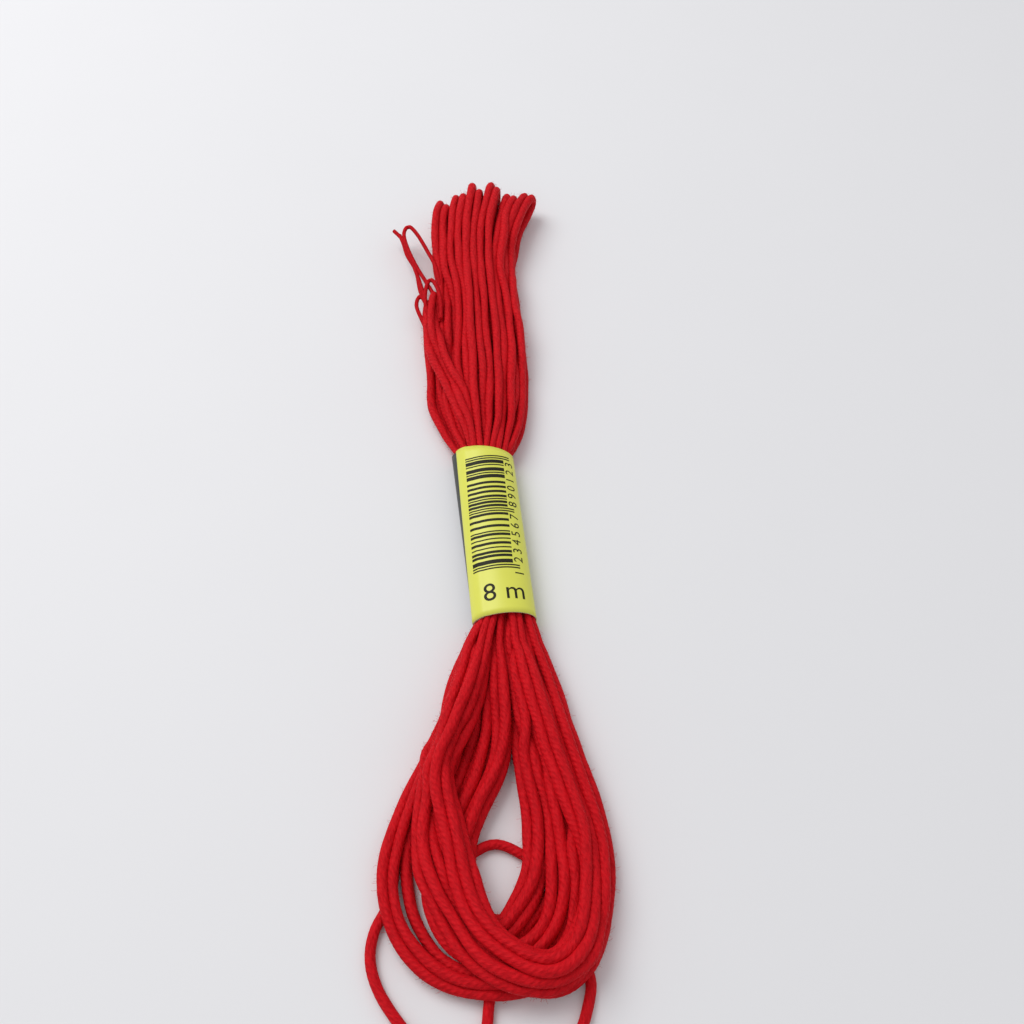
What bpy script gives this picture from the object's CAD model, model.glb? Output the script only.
"""A skein of cotton embroidery floss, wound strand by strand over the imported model's frame.

The floss is 22 turns of one long six-ply thread. They are drawn as 22 strands round the loop and 22 in the
fan, whose ends meet inside the band. The strands are settled against each other and on the table, then swept
into thread. The paper band is one strip, wrapped round the waist and lapped down its left side. Everything is
worked out in millimetres from the middle of the waist on the table, and placed in metres.
"""

import math
from collections import namedtuple

import bmesh
import bpy
import numpy as np
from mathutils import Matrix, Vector
from mathutils.kdtree import KDTree


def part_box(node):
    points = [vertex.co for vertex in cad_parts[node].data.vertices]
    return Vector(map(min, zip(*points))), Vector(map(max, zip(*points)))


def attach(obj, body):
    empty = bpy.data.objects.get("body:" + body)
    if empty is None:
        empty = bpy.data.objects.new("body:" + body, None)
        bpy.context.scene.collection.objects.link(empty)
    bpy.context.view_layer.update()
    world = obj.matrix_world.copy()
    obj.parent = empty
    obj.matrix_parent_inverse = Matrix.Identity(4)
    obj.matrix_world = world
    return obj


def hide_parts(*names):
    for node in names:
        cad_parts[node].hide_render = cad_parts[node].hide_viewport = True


bl_info = {
    "name": "Embroidery Floss Skein",
    "version": (1, 0, 0),
    "blender": (4, 5, 0),
    "location": "3D View > Sidebar > Skein",
    "description": "Winds a skein of six-ply embroidery floss with its paper band",
    "category": "Object",
}

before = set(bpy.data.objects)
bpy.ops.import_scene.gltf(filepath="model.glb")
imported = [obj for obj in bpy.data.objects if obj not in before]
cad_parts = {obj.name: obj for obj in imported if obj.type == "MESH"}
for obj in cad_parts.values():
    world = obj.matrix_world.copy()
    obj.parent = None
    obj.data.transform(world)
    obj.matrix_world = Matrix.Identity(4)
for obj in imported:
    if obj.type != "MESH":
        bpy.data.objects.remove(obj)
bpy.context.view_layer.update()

MM = 0.001
BODY = "root"
FLOSS_SLOT = "red_cotton"
PAPER_SLOT = "yellow_paper"
SEED = 11

# The band in the frame: its box gives its length and its place, and the lap makes it wider on its left only.
# Its middle lies a little nearer the loop than the waist's, and its far mouth is FAR_LEAN further left.
BAND_LOW, BAND_HIGH = (Vector(corner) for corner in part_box("paper_band"))
BAND_HALF_WIDTH = 5.4
BAND_HALF_HEIGHT = 3.5
BAND_AXIS_Z = 3.1
BAND_HALF_LENGTH = (BAND_HIGH.y - BAND_LOW.y) / MM / 2.0
BAND_SHIFT = -1.5
FAR_LEAN = 0.25
WAIST_X = BAND_HIGH.x - BAND_HALF_WIDTH * MM
WAIST_Y = (BAND_LOW.y + BAND_HIGH.y) / 2.0 - BAND_SHIFT * MM

# A rope is a group of strands that run together. Its sections, in millimetres from the middle of the waist:
# x, y and z are the middle of the section, w its half width across the rope and h its half height. They
# follow the solid's ropes, and depart from them by up to 1.4 mm in the loop and 2.5 mm at the fan's tips.
Section = namedtuple("Section", "x y z w h")

# Strands of the left arm's top layer, which sweep over the bottom and climb the outside of the right arm.
OVER_INNER = (
    Section(-2.0, -16.0, 3.4, 1.8, 1.9),
    Section(-4.2, -24.0, 4.2, 2.0, 2.0),
    Section(-6.4, -31.0, 4.4, 1.9, 1.9),
    Section(-8.6, -36.0, 4.4, 1.8, 1.9),
    Section(-10.9, -40.0, 4.3, 1.7, 1.9),
    Section(-12.6, -44.0, 4.3, 1.6, 1.9),
    Section(-12.5, -49.0, 4.2, 1.6, 1.9),
    Section(-11.7, -54.7, 4.1, 1.6, 1.9),
    Section(-10.4, -61.8, 4.2, 1.5, 1.9),
    Section(-7.0, -70.0, 4.7, 1.5, 1.9),
    Section(-0.2, -74.8, 4.9, 1.5, 1.9),
    Section(5.1, -72.2, 3.9, 1.7, 1.8),
    Section(7.4, -64.8, 3.1, 1.7, 2.2),
    Section(7.9, -56.0, 3.0, 1.8, 2.3),
    Section(6.3, -48.0, 3.1, 1.8, 2.4),
    Section(4.8, -40.0, 3.3, 1.9, 2.5),
    Section(3.2, -32.0, 3.4, 1.9, 2.5),
    Section(2.2, -24.0, 3.4, 1.9, 2.3),
    Section(1.2, -16.0, 3.2, 1.8, 2.0),
)
OVER_OUTER = (
    Section(-3.0, -16.0, 3.0, 1.4, 1.8),
    Section(-5.8, -24.0, 3.4, 1.8, 2.1),
    Section(-8.2, -31.0, 3.3, 1.7, 2.0),
    Section(-9.9, -36.0, 3.2, 1.6, 2.0),
    Section(-11.8, -41.0, 3.0, 1.6, 2.0),
    Section(-14.1, -47.0, 2.8, 1.8, 1.9),
    Section(-15.4, -53.5, 2.6, 2.0, 1.8),
    Section(-14.8, -60.0, 2.7, 2.0, 1.7),
    Section(-12.2, -67.0, 3.0, 2.0, 1.7),
    Section(-7.8, -73.0, 3.4, 2.0, 1.7),
    Section(-1.0, -76.4, 3.3, 1.8, 1.7),
    Section(4.6, -74.8, 2.9, 1.7, 1.9),
    Section(8.3, -68.0, 2.3, 1.7, 2.2),
    Section(10.0, -58.8, 2.2, 1.7, 2.2),
    Section(9.1, -50.4, 2.3, 1.8, 2.3),
    Section(7.2, -41.0, 2.5, 1.8, 2.4),
    Section(6.2, -32.0, 2.7, 1.8, 2.4),
    Section(4.6, -24.0, 3.0, 1.7, 2.2),
    Section(3.0, -16.0, 3.0, 1.4, 1.8),
)
# Strands of the left arm's outside, which pass under the sweep and climb the middle of the right arm.
UNDER_OUTER = (
    Section(-3.4, -16.0, 2.6, 1.1, 1.5),
    Section(-6.4, -24.0, 1.9, 1.6, 1.8),
    Section(-9.0, -31.5, 1.7, 1.7, 1.7),
    Section(-10.2, -37.5, 1.6, 1.6, 1.6),
    Section(-13.0, -42.5, 1.6, 1.7, 1.6),
    Section(-16.7, -48.5, 1.7, 1.9, 1.5),
    Section(-19.4, -54.8, 1.7, 1.8, 1.5),
    Section(-20.4, -61.4, 1.7, 2.5, 1.5),
    Section(-19.1, -67.2, 1.7, 2.5, 1.5),
    Section(-14.8, -72.6, 1.7, 2.0, 1.6),
    Section(-8.8, -75.2, 1.7, 1.6, 1.7),
    Section(-2.0, -74.6, 1.6, 1.6, 1.6),
    Section(4.0, -70.6, 1.6, 1.7, 1.6),
    Section(6.4, -63.0, 1.7, 1.8, 1.7),
    Section(6.4, -55.0, 1.8, 1.8, 1.8),
    Section(4.8, -47.0, 1.9, 1.8, 1.9),
    Section(3.2, -39.0, 2.0, 1.8, 2.0),
    Section(2.2, -31.0, 2.0, 1.8, 2.0),
    Section(1.8, -23.0, 2.2, 1.7, 1.9),
    Section(1.4, -16.0, 2.4, 1.1, 1.5),
)
# Shorter turns, which dip under the left arm beside the eye.
UNDER_INNER = (
    Section(-2.4, -16.0, 2.4, 1.4, 1.6),
    Section(-3.6, -24.0, 1.9, 1.9, 1.8),
    Section(-4.5, -32.0, 1.7, 2.0, 1.6),
    Section(-5.2, -38.5, 1.4, 2.3, 1.4),
    Section(-7.3, -44.5, 1.3, 2.4, 1.2),
    Section(-10.2, -50.5, 1.3, 2.1, 1.2),
    Section(-13.4, -56.5, 1.5, 1.7, 1.4),
    Section(-14.2, -62.5, 1.5, 1.6, 1.4),
    Section(-12.2, -68.4, 1.5, 1.7, 1.4),
    Section(-7.6, -72.2, 1.5, 1.8, 1.4),
    Section(-2.4, -71.8, 1.5, 1.8, 1.5),
    Section(2.0, -68.0, 1.5, 1.8, 1.5),
    Section(4.0, -61.0, 1.6, 1.8, 1.6),
    Section(3.9, -53.0, 1.7, 1.7, 1.7),
    Section(3.1, -45.0, 1.8, 1.7, 1.8),
    Section(2.0, -37.0, 1.9, 1.7, 1.9),
    Section(0.8, -29.0, 2.0, 1.8, 2.0),
    Section(0.4, -22.0, 2.2, 1.8, 2.0),
    Section(0.2, -16.0, 2.4, 1.5, 1.7),
)
# The shortest turns, which edge the eye on both sides and pass under the left arm.
EYE_EDGE = (
    Section(-1.2, -16.0, 2.8, 1.7, 1.9),
    Section(-1.5, -24.0, 3.0, 1.8, 2.2),
    Section(-1.4, -31.0, 2.9, 1.7, 2.1),
    Section(-1.7, -36.5, 2.9, 1.4, 2.0),
    Section(-2.6, -41.5, 2.8, 1.3, 1.9),
    Section(-4.5, -46.4, 2.6, 1.2, 1.8),
    Section(-7.7, -51.4, 2.2, 1.2, 1.6),
    Section(-10.8, -56.8, 1.6, 1.5, 1.4),
    Section(-10.6, -61.8, 1.5, 1.6, 1.4),
    Section(-9.4, -66.6, 1.5, 1.6, 1.4),
    Section(-5.8, -68.8, 1.5, 1.7, 1.4),
    Section(-2.8, -66.4, 1.5, 1.8, 1.4),
    Section(0.2, -61.4, 1.6, 1.8, 1.5),
    Section(0.8, -55.0, 1.7, 1.8, 1.6),
    Section(0.9, -48.0, 1.8, 1.6, 1.7),
    Section(1.2, -41.0, 1.9, 1.6, 1.8),
    Section(0.9, -33.0, 2.0, 1.7, 1.9),
    Section(0.2, -24.0, 2.2, 1.9, 1.9),
    Section(-0.2, -16.0, 2.6, 1.7, 1.8),
)

# The left shoulder's short folded turns: upper legs sweep across from the middle, lower legs edge the fan.
SHOULDER_SWEEP = (
    Section(-1.4, 16.0, 4.2, 1.5, 1.1),
    Section(-2.4, 24.0, 5.4, 1.6, 1.1),
    Section(-4.4, 33.0, 5.4, 1.7, 1.1),
    Section(-6.9, 42.0, 4.9, 1.7, 1.1),
    Section(-8.3, 50.0, 4.4, 1.7, 1.1),
    Section(-8.0, 57.0, 4.2, 1.6, 1.1),
    Section(-6.4, 63.0, 4.2, 1.4, 1.1),
)
SHOULDER_EDGE = (
    Section(-3.4, 16.0, 2.6, 1.1, 1.5),
    Section(-6.1, 23.0, 2.4, 1.8, 1.9),
    Section(-8.1, 31.0, 2.3, 1.9, 2.0),
    Section(-8.3, 39.0, 2.2, 1.8, 1.9),
    Section(-8.1, 47.0, 2.0, 1.6, 1.7),
    Section(-7.8, 56.0, 1.9, 1.6, 1.5),
    Section(-6.3, 63.0, 2.0, 1.4, 1.3),
)

# The far end's groups of folded turns, from the band to the folds' tips, left to right.
FAN = (
    (
        Section(-2.6, 16.0, 2.6, 1.4, 1.7),
        Section(-4.0, 24.0, 2.3, 1.8, 1.9),
        Section(-5.0, 34.0, 2.2, 1.8, 1.9),
        Section(-5.2, 44.0, 2.1, 1.8, 1.8),
        Section(-4.6, 54.0, 2.3, 1.7, 1.8),
        Section(-4.4, 63.0, 2.8, 1.6, 2.0),
        Section(-4.7, 71.0, 3.4, 1.6, 2.3),
        Section(-4.9, 79.0, 4.0, 1.6, 2.5),
        Section(-4.2, 85.6, 4.4, 1.7, 2.5),
        Section(-2.7, 91.3, 4.6, 1.7, 2.2),
    ),
    (
        Section(-1.6, 16.0, 3.0, 1.6, 1.9),
        Section(-2.2, 24.0, 3.2, 1.9, 2.8),
        Section(-2.8, 34.0, 3.3, 1.9, 3.0),
        Section(-2.4, 44.0, 3.4, 1.9, 3.0),
        Section(-1.4, 54.0, 3.6, 1.8, 3.0),
        Section(-1.2, 64.0, 3.8, 1.8, 3.0),
        Section(-1.6, 74.0, 4.2, 1.8, 3.1),
        Section(-0.6, 84.0, 4.8, 1.8, 3.0),
        Section(1.0, 93.7, 5.0, 1.7, 2.7),
    ),
    (
        Section(-0.4, 16.0, 3.1, 1.8, 2.1),
        Section(-0.2, 24.0, 3.4, 2.0, 3.2),
        Section(0.0, 34.0, 3.6, 2.0, 3.5),
        Section(0.5, 46.0, 3.7, 2.0, 3.5),
        Section(1.2, 58.0, 3.8, 2.0, 3.4),
        Section(1.3, 70.0, 4.1, 2.0, 3.2),
        Section(2.4, 81.0, 4.8, 1.9, 3.1),
        Section(4.0, 90.2, 5.1, 1.8, 2.9),
        Section(4.8, 95.3, 5.2, 1.7, 2.6),
    ),
    (
        Section(1.0, 16.0, 3.1, 1.8, 2.1),
        Section(2.2, 24.0, 3.4, 2.0, 3.2),
        Section(3.2, 34.0, 3.6, 2.1, 3.5),
        Section(3.9, 46.0, 3.7, 2.1, 3.5),
        Section(4.4, 58.0, 3.8, 2.0, 3.4),
        Section(4.4, 70.0, 4.2, 2.0, 3.2),
        Section(5.8, 81.0, 4.9, 1.9, 3.1),
        Section(7.8, 90.0, 5.2, 1.8, 2.9),
        Section(9.0, 94.6, 5.3, 1.6, 2.6),
    ),
    (
        Section(2.2, 16.0, 3.0, 1.6, 1.9),
        Section(4.6, 24.0, 3.0, 1.9, 2.6),
        Section(6.0, 34.0, 3.1, 1.9, 2.9),
        Section(7.0, 46.0, 3.2, 1.9, 3.0),
        Section(7.3, 58.0, 3.3, 1.8, 2.9),
        Section(7.7, 70.0, 3.6, 1.8, 2.7),
        Section(9.6, 80.0, 4.2, 1.7, 2.6),
        Section(11.6, 87.6, 4.6, 1.5, 2.4),
        Section(12.6, 91.8, 4.7, 1.3, 2.1),
    ),
    (
        Section(3.4, 16.0, 2.8, 1.1, 1.6),
        Section(6.0, 23.0, 2.5, 1.7, 2.0),
        Section(7.9, 32.0, 2.3, 1.7, 2.1),
        Section(8.8, 43.0, 2.3, 1.6, 2.1),
        Section(9.2, 55.0, 2.5, 1.5, 2.1),
        Section(9.4, 66.0, 2.9, 1.5, 2.1),
        Section(10.2, 75.0, 3.6, 1.5, 2.2),
        Section(12.8, 84.4, 4.2, 1.6, 2.2),
        Section(17.5, 93.2, 4.8, 1.9, 2.0),
    ),
)

# Single strands and split plies, in millimetres from the middle of the waist: the middle of the strand.
Point = namedtuple("Point", "x y z")

EYE_STRAND = (
    Point(-11.0, -58.4, 0.9),
    Point(-8.4, -57.0, 0.85),
    Point(-6.2, -56.1, 0.82),
    Point(-4.2, -56.3, 0.82),
    Point(-2.0, -57.6, 0.82),
    Point(0.4, -59.4, 0.9),
    Point(2.6, -61.4, 1.2),
)
SPLIT_PLIES = (
    (
        Point(-7.0, 50.0, 2.9),
        Point(-8.1, 57.6, 3.3),
        Point(-9.9, 63.8, 3.4),
        Point(-10.5, 70.6, 3.5),
        Point(-12.2, 76.0, 3.4),
        Point(-12.9, 80.4, 3.3),
        Point(-13.6, 83.4, 3.2),
    ),
    (
        Point(-7.6, 52.0, 3.3),
        Point(-8.9, 57.0, 4.2),
        Point(-8.9, 62.0, 4.6),
        Point(-7.7, 66.0, 4.8),
        Point(-6.4, 63.6, 5.0),
        Point(-5.8, 59.0, 5.0),
        Point(-6.0, 54.0, 4.4),
    ),
    (
        Point(-7.4, 51.0, 3.2),
        Point(-8.6, 58.0, 3.8),
        Point(-9.6, 64.5, 4.0),
        Point(-10.8, 71.0, 4.1),
        Point(-12.0, 77.0, 4.0),
        Point(-13.2, 81.5, 3.8),
        Point(-14.8, 84.6, 3.6),
    ),
    (
        Point(-6.4, 54.0, 3.4),
        Point(-6.8, 60.5, 4.0),
        Point(-8.6, 66.0, 4.3),
        Point(-10.4, 71.0, 4.5),
        Point(-12.0, 77.0, 4.7),
        Point(-12.6, 82.0, 4.7),
        Point(-11.4, 84.4, 4.8),
        Point(-9.6, 81.2, 4.9),
        Point(-7.6, 75.0, 4.9),
        Point(-6.2, 70.0, 4.9),
        Point(-5.6, 64.0, 4.6),
    ),
    (
        Point(-8.0, 48.0, 3.0),
        Point(-10.0, 55.0, 3.3),
        Point(-11.0, 59.6, 3.5),
        Point(-10.0, 62.2, 3.7),
        Point(-8.8, 59.0, 3.7),
        Point(-7.6, 53.0, 3.6),
    ),
)

# The slipped turn lies on the table from the left arm's outside, round in front, to the loop's right corner.
LOOSE_TURN = (
    Point(-23.4, -66.4, 0.82),
    Point(-24.2, -69.4, 0.82),
    Point(-24.0, -72.2, 0.82),
    Point(-22.8, -75.4, 0.82),
    Point(-20.4, -79.2, 0.82),
    Point(-17.2, -83.4, 0.82),
    Point(-13.8, -87.6, 0.82),
    Point(-9.8, -90.6, 0.82),
    Point(-5.2, -91.2, 0.82),
    Point(-1.2, -89.2, 0.82),
    Point(1.8, -85.8, 0.82),
    Point(4.2, -82.0, 0.82),
    Point(5.7, -78.6, 0.82),
    Point(6.2, -76.6, 0.82),
)
# The cut end of the floss, which comes out from under the front of the loop.
LOOSE_TAIL = (
    Point(-8.1, -77.7, 0.82),
    Point(-8.6, -80.4, 0.82),
    Point(-9.2, -83.0, 0.82),
    Point(-9.0, -85.4, 0.82),
    Point(-8.2, -87.6, 0.82),
)
# Where the slipped turn and the cut end run on, out of sight, under the strands of the loop.
LOOSE_TURN_START = (
    Point(-20.3, -57.0, 0.82),
    Point(-20.6, -60.2, 0.82),
    Point(-21.6, -63.5, 0.82),
)
LOOSE_TURN_END = (
    Point(5.8, -74.4, 0.82),
    Point(4.4, -71.8, 0.82),
)
LOOSE_TAIL_START = (
    Point(4.6, -59.6, 0.82),
    Point(2.4, -63.6, 0.82),
    Point(-0.6, -67.2, 0.82),
    Point(-4.2, -70.6, 0.82),
    Point(-7.0, -74.2, 0.82),
)

# How far a strand lies from its rope's middle, as shares of the rope's half width and half height.
Place = namedtuple("Place", "across up")
FOUR_STRANDS = (Place(-0.85, 0.25), Place(0.1, 0.9), Place(0.85, -0.25), Place(-0.1, -0.9))
FIVE_STRANDS = (Place(-0.9, -0.1), Place(-0.25, 0.9), Place(0.65, 0.6), Place(0.8, -0.55), Place(-0.15, -0.9))
SPREAD_STRANDS = (Place(-0.95, 0.1), Place(-0.45, -0.9), Place(-0.25, 0.9), Place(1.17, 0.0))

# The loop's ropes: where the strands lie at the start, and how far the rope turns on itself on its way round.
Rope = namedtuple("Rope", "table places turn_deg")
LOOP_ROPES = (
    Rope(OVER_INNER, FIVE_STRANDS, 50.0),
    Rope(OVER_OUTER, FIVE_STRANDS, -40.0),
    Rope(UNDER_OUTER, SPREAD_STRANDS, 0.0),
    Rope(UNDER_INNER, FOUR_STRANDS, -50.0),
    Rope(EYE_EDGE, FOUR_STRANDS, 40.0),
)
# The first OVER_ROPES of them make one piece, and the others another.
OVER_ROPES = 2

# The fan's folded turns in a rope: place of the upper leg, and how far short of the rope's tip it folds.
Fold = namedtuple("Fold", "across up short")
FOUR_FOLDS = (Fold(-0.85, 0.95, 0.9), Fold(0.8, 0.95, 0.0), Fold(-0.6, 0.38, 2.0), Fold(0.7, 0.38, 3.2))
STEPPED_FOLDS = (Fold(-0.8, 0.95, 1.6), Fold(0.85, 0.9, 0.0), Fold(0.0, 0.35, 2.6))
LEVEL_FOLDS = (Fold(-0.8, 0.95, 0.5), Fold(0.85, 0.9, 0.0), Fold(0.0, 0.35, 2.2))
SHOULDER_FOLDS = (Fold(-0.95, 0.2, 1.6), Fold(0.0, 0.5, 0.0), Fold(0.95, 0.1, 2.6))

# A group of folds runs out along one rope and back along another, or back along its own.
Group = namedtuple("Group", "out back folds")
FAN_GROUPS = (
    Group(SHOULDER_SWEEP, SHOULDER_EDGE, SHOULDER_FOLDS),
    Group(FAN[0], FAN[0], STEPPED_FOLDS),
    Group(FAN[1], FAN[1], STEPPED_FOLDS),
    Group(FAN[2], FAN[2], STEPPED_FOLDS),
    Group(FAN[3], FAN[3], FOUR_FOLDS),
    Group(FAN[4], FAN[4], LEVEL_FOLDS),
    Group(FAN[5], FAN[5], LEVEL_FOLDS),
)
# The first LEFT_GROUPS of them make one piece, and the others another.
LEFT_GROUPS = 4

# Where a fold's arc has points, from its upper leg to its lower leg.
FOLD_ANGLES_DEG = (60.0, 25.0, -25.0, -60.0)

# The strands' places in the band: columns from left to right, and how many strands are in each.
WAIST_COLUMNS = (3, 4, 6, 6, 6, 6, 6, 4, 3)
COLUMN_PITCH = 1.06
ROW_PITCH = 1.0
WAIST_MIDDLE_Z = 3.2
WAIST_STEPS = (0.0, 5.0, 10.0, 15.0)

# How far from the waist's middle the loop's ropes and the fan's ropes take over from the straight run there.
ROPE_START_Y = 24.0
FAN_START_Y = 22.5

# Steps between a table's rows: along a rope, a strand's own route and a strand with its run into the band.
ROPE_STEPS = 4
ROUTE_STEPS = 8
JOIN_STEPS = 6

# The least half width and half height over which a rope's strands are spread.
LEAST_SPREAD = 0.3

# A fold's arc starts FOLD_ROOM short of its leg's end, and reaches at least LEAST_REACH beyond it.
FOLD_ROOM = 0.8
LEAST_REACH = 1.0

# Radius of a strand in the band's middle and at its mouths, and where it has swelled to its free radius.
RADIUS_IN_BAND = 0.54
RADIUS_AT_MOUTH = 0.6
SQUEEZED_HALF_LENGTH = 13.0
SWELL_END_Y = 34.0

# Towards the folds' tips the strands are thicker, by TIP_SWELL of their radius in the end.
TIP_SWELL = 0.14
TIP_SWELL_START_Y = 62.0
TIP_SWELL_LENGTH = 24.0

# Unevenness of the strands, which fades in over FREED_LENGTH beyond the band's mouths.
FREED_LENGTH = 12.0
WAVER = 0.26
WAVER_LENGTHS = (17.0, 29.0, 43.0)
STRAND_UNEVENNESS = 0.08
LENGTH_UNEVENNESS = 0.03

# Settling. A strand's points are SPACING apart. In each round they are pulled back towards their first
# places, sink by SAG, keep the strand's bends and lengths, and are pushed apart where strands overlap. The
# pairs of points that may touch, within PAIR_REACH, are looked for again every PAIR_ROUNDS rounds, and are
# left alone once they are SNUGNESS of their radii apart. In the band the strands stay PAPER_GAP inside it.
SPACING = 1.0
ROUNDS = 110
PAIR_ROUNDS = 9
PAIR_REACH = 2.3
OWN_NEIGHBOURS = 4
PULL_LEVEL = 0.035
PULL_HEIGHT = 0.012
SAG = 0.008
SHAPE_KEEPING = 0.3
LENGTH_KEEPING = 0.25
PUSH = 0.42
SNUGNESS = 0.97
MOST_OVERLAP = 0.6
PAPER_GAP = 0.2
MOUTH_MARGIN = 0.4
TINY = 1e-6

# The swept thread: corners of its section, the distance between sections in metres, and how narrow the
# valleys between its plies are. A split ply is two finer yarns, twisted in SPLIT_PITCH.
THREAD_SIDES = 24
THREAD_STEP = 0.0009
LOBE_SHARPNESS = 1.5
SPLIT_SIDES = 12
SPLIT_STEP = 0.0003
SPLIT_YARNS = 2
SPLIT_PITCH = 0.0022

# The loose fibres: their radius in metres, how far beyond the band they start in millimetres, and how high
# off the table, as a multiple of their length.
HAIR_RADIUS = 0.000016
HAIR_BAND_GAP = 0.8
HAIR_TABLE_GAP = 1.3

# The camera's place in millimetres from the waist's middle, and its angles from straight down and from +Y.
CAMERA_PLACE = (-8.0, -106.5, 154.0)
CAMERA_TILT_DEG = 36.2
CAMERA_TURN_DEG = -6.03

# The soft light's place and size, and the table top's size, in metres.
KEY_PLACE = (-0.36, 0.36, 0.66)
KEY_SIZE = 0.6
SKY_COLOUR = (0.98, 0.98, 1.0, 1.0)
FLOOR_SIZE = 3.0

# What is worked out once and used by several operators.
shared = {}


class StageSettings(bpy.types.PropertyGroup):
    """Floor, light and camera."""

    floor_colour: bpy.props.FloatVectorProperty(
        name="Floor colour", description="Colour of the table top", subtype="COLOR",
        size=3, min=0.0, max=1.0, default=(0.80, 0.80, 0.815),
    )
    key_power: bpy.props.FloatProperty(
        name="Key light", description="Power of the large soft light", subtype="POWER", unit="POWER",
        min=0.0, default=4.0,
    )
    sky_strength: bpy.props.FloatProperty(
        name="Surrounding light", description="Strength of the light from all round", min=0.0, default=0.585,
    )
    lens: bpy.props.FloatProperty(
        name="Lens", description="Focal length of the camera, on a sensor 36 mm wide", min=1.0, default=36.0,
    )


class FlossSettings(bpy.types.PropertyGroup):
    """Sizes and colours of the thread."""

    loop_diameter: bpy.props.FloatProperty(
        name="Loop diameter", description="Diameter of a strand in the open loop", subtype="DISTANCE",
        unit="LENGTH", min=0.0005, default=0.00172,
    )
    fan_diameter: bpy.props.FloatProperty(
        name="Fan diameter", description="Diameter of a strand in the fan", subtype="DISTANCE",
        unit="LENGTH", min=0.0005, default=0.00162,
    )
    loose_diameter: bpy.props.FloatProperty(
        name="Loose diameter", description="Diameter of the slipped turn and the cut end",
        subtype="DISTANCE", unit="LENGTH", min=0.0005, default=0.0016,
    )
    ply_diameter: bpy.props.FloatProperty(
        name="Ply diameter", description="Diameter of a ply that has split away", subtype="DISTANCE",
        unit="LENGTH", min=0.0003, default=0.0009,
    )
    plies: bpy.props.IntProperty(name="Plies", description="Plies in the thread", min=2, max=8, default=6)
    ply_pitch: bpy.props.FloatProperty(
        name="Ply pitch", description="Length in which the plies go once round", subtype="DISTANCE",
        unit="LENGTH", min=0.002, default=0.022,
    )
    ply_depth: bpy.props.FloatProperty(
        name="Ply depth", description="Depth of the valleys between plies, as a share of the radius",
        subtype="FACTOR", min=0.0, max=0.5, default=0.018,
    )
    colour: bpy.props.FloatVectorProperty(
        name="Thread colour", description="Colour of the dyed cotton", subtype="COLOR",
        size=3, min=0.0, max=1.0, default=(0.64, 0.0045, 0.011),
    )
    valley_colour: bpy.props.FloatVectorProperty(
        name="Valley colour", description="Colour in the valleys between plies", subtype="COLOR",
        size=3, min=0.0, max=1.0, default=(0.40, 0.0022, 0.0065),
    )
    hairs: bpy.props.FloatProperty(
        name="Hairs", description="Loose fibres on each square metre of thread", min=0.0, default=900000.0,
    )
    hair_length: bpy.props.FloatProperty(
        name="Hair length", description="Length of a loose fibre", subtype="DISTANCE", unit="LENGTH",
        min=0.0001, default=0.0008,
    )


class BandSettings(bpy.types.PropertyGroup):
    """Sizes and colours of the paper band."""

    paper_thickness: bpy.props.FloatProperty(
        name="Paper thickness", description="Thickness of the paper", subtype="DISTANCE", unit="LENGTH",
        min=0.00005, default=0.00014,
    )
    paper_colour: bpy.props.FloatVectorProperty(
        name="Paper colour", description="Colour of the printed ground", subtype="COLOR",
        size=3, min=0.0, max=1.0, default=(0.75, 0.76, 0.095),
    )
    under_colour: bpy.props.FloatVectorProperty(
        name="Underside colour", description="Colour of the printed panel on the underside", subtype="COLOR",
        size=3, min=0.0, max=1.0, default=(0.030, 0.034, 0.031),
    )
    ink_colour: bpy.props.FloatVectorProperty(
        name="Ink colour", description="Colour of the bars and the figures", subtype="COLOR",
        size=3, min=0.0, max=1.0, default=(0.014, 0.013, 0.007),
    )


def place(points):
    """Points in millimetres from the waist's middle, as points in the frame, in metres."""
    points = np.asarray(points, dtype=float)
    return points * MM + np.array((WAIST_X, WAIST_Y, 0.0))


def far_share(y):
    """Nothing at the band's near mouth, one at its far mouth: y is measured from the band's middle."""
    return np.clip((y + BAND_HALF_LENGTH) / (2.0 * BAND_HALF_LENGTH), 0.0, 1.0)


def freed_share(y):
    """Nothing in the band, and one from FREED_LENGTH beyond its mouths on."""
    return np.clip((np.abs(y - BAND_SHIFT) - BAND_HALF_LENGTH) / FREED_LENGTH, 0.0, 1.0)


def smooth_curve(points, steps):
    """A Catmull-Rom curve through rows of numbers, with this many steps from each row to the next."""
    rows = np.asarray(points, dtype=float)
    padded = np.vstack((2.0 * rows[0] - rows[1], rows, 2.0 * rows[-1] - rows[-2]))
    t = (np.arange(steps) / steps)[:, None]
    pieces = []
    for before, start, end, after in zip(padded, padded[1:], padded[2:], padded[3:]):
        pieces.append(
            0.5
            * (
                2.0 * start
                + (end - before) * t
                + (2.0 * before - 5.0 * start + 4.0 * end - after) * t**2
                + (3.0 * (start - end) + after - before) * t**3
            )
        )
    pieces.append(rows[-1:])
    return np.vstack(pieces)


def lengths_along(points):
    """Distance from the first point to each point."""
    steps = np.linalg.norm(np.diff(points, axis=0), axis=1)
    return np.concatenate(((0.0,), np.cumsum(steps)))


def evenly_spaced(points, spacing):
    """The same line with its points about this far apart."""
    along = lengths_along(points)
    count = max(2, int(round(along[-1] / spacing)) + 1)
    stations = np.linspace(0.0, along[-1], count)
    return np.column_stack([np.interp(stations, along, column) for column in points.T])


def route(*tables):
    """A smooth, evenly spaced line through a strand's points."""
    rows = [tuple(point) for table in tables for point in table]
    return evenly_spaced(smooth_curve(rows, ROUTE_STEPS), SPACING)


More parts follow.
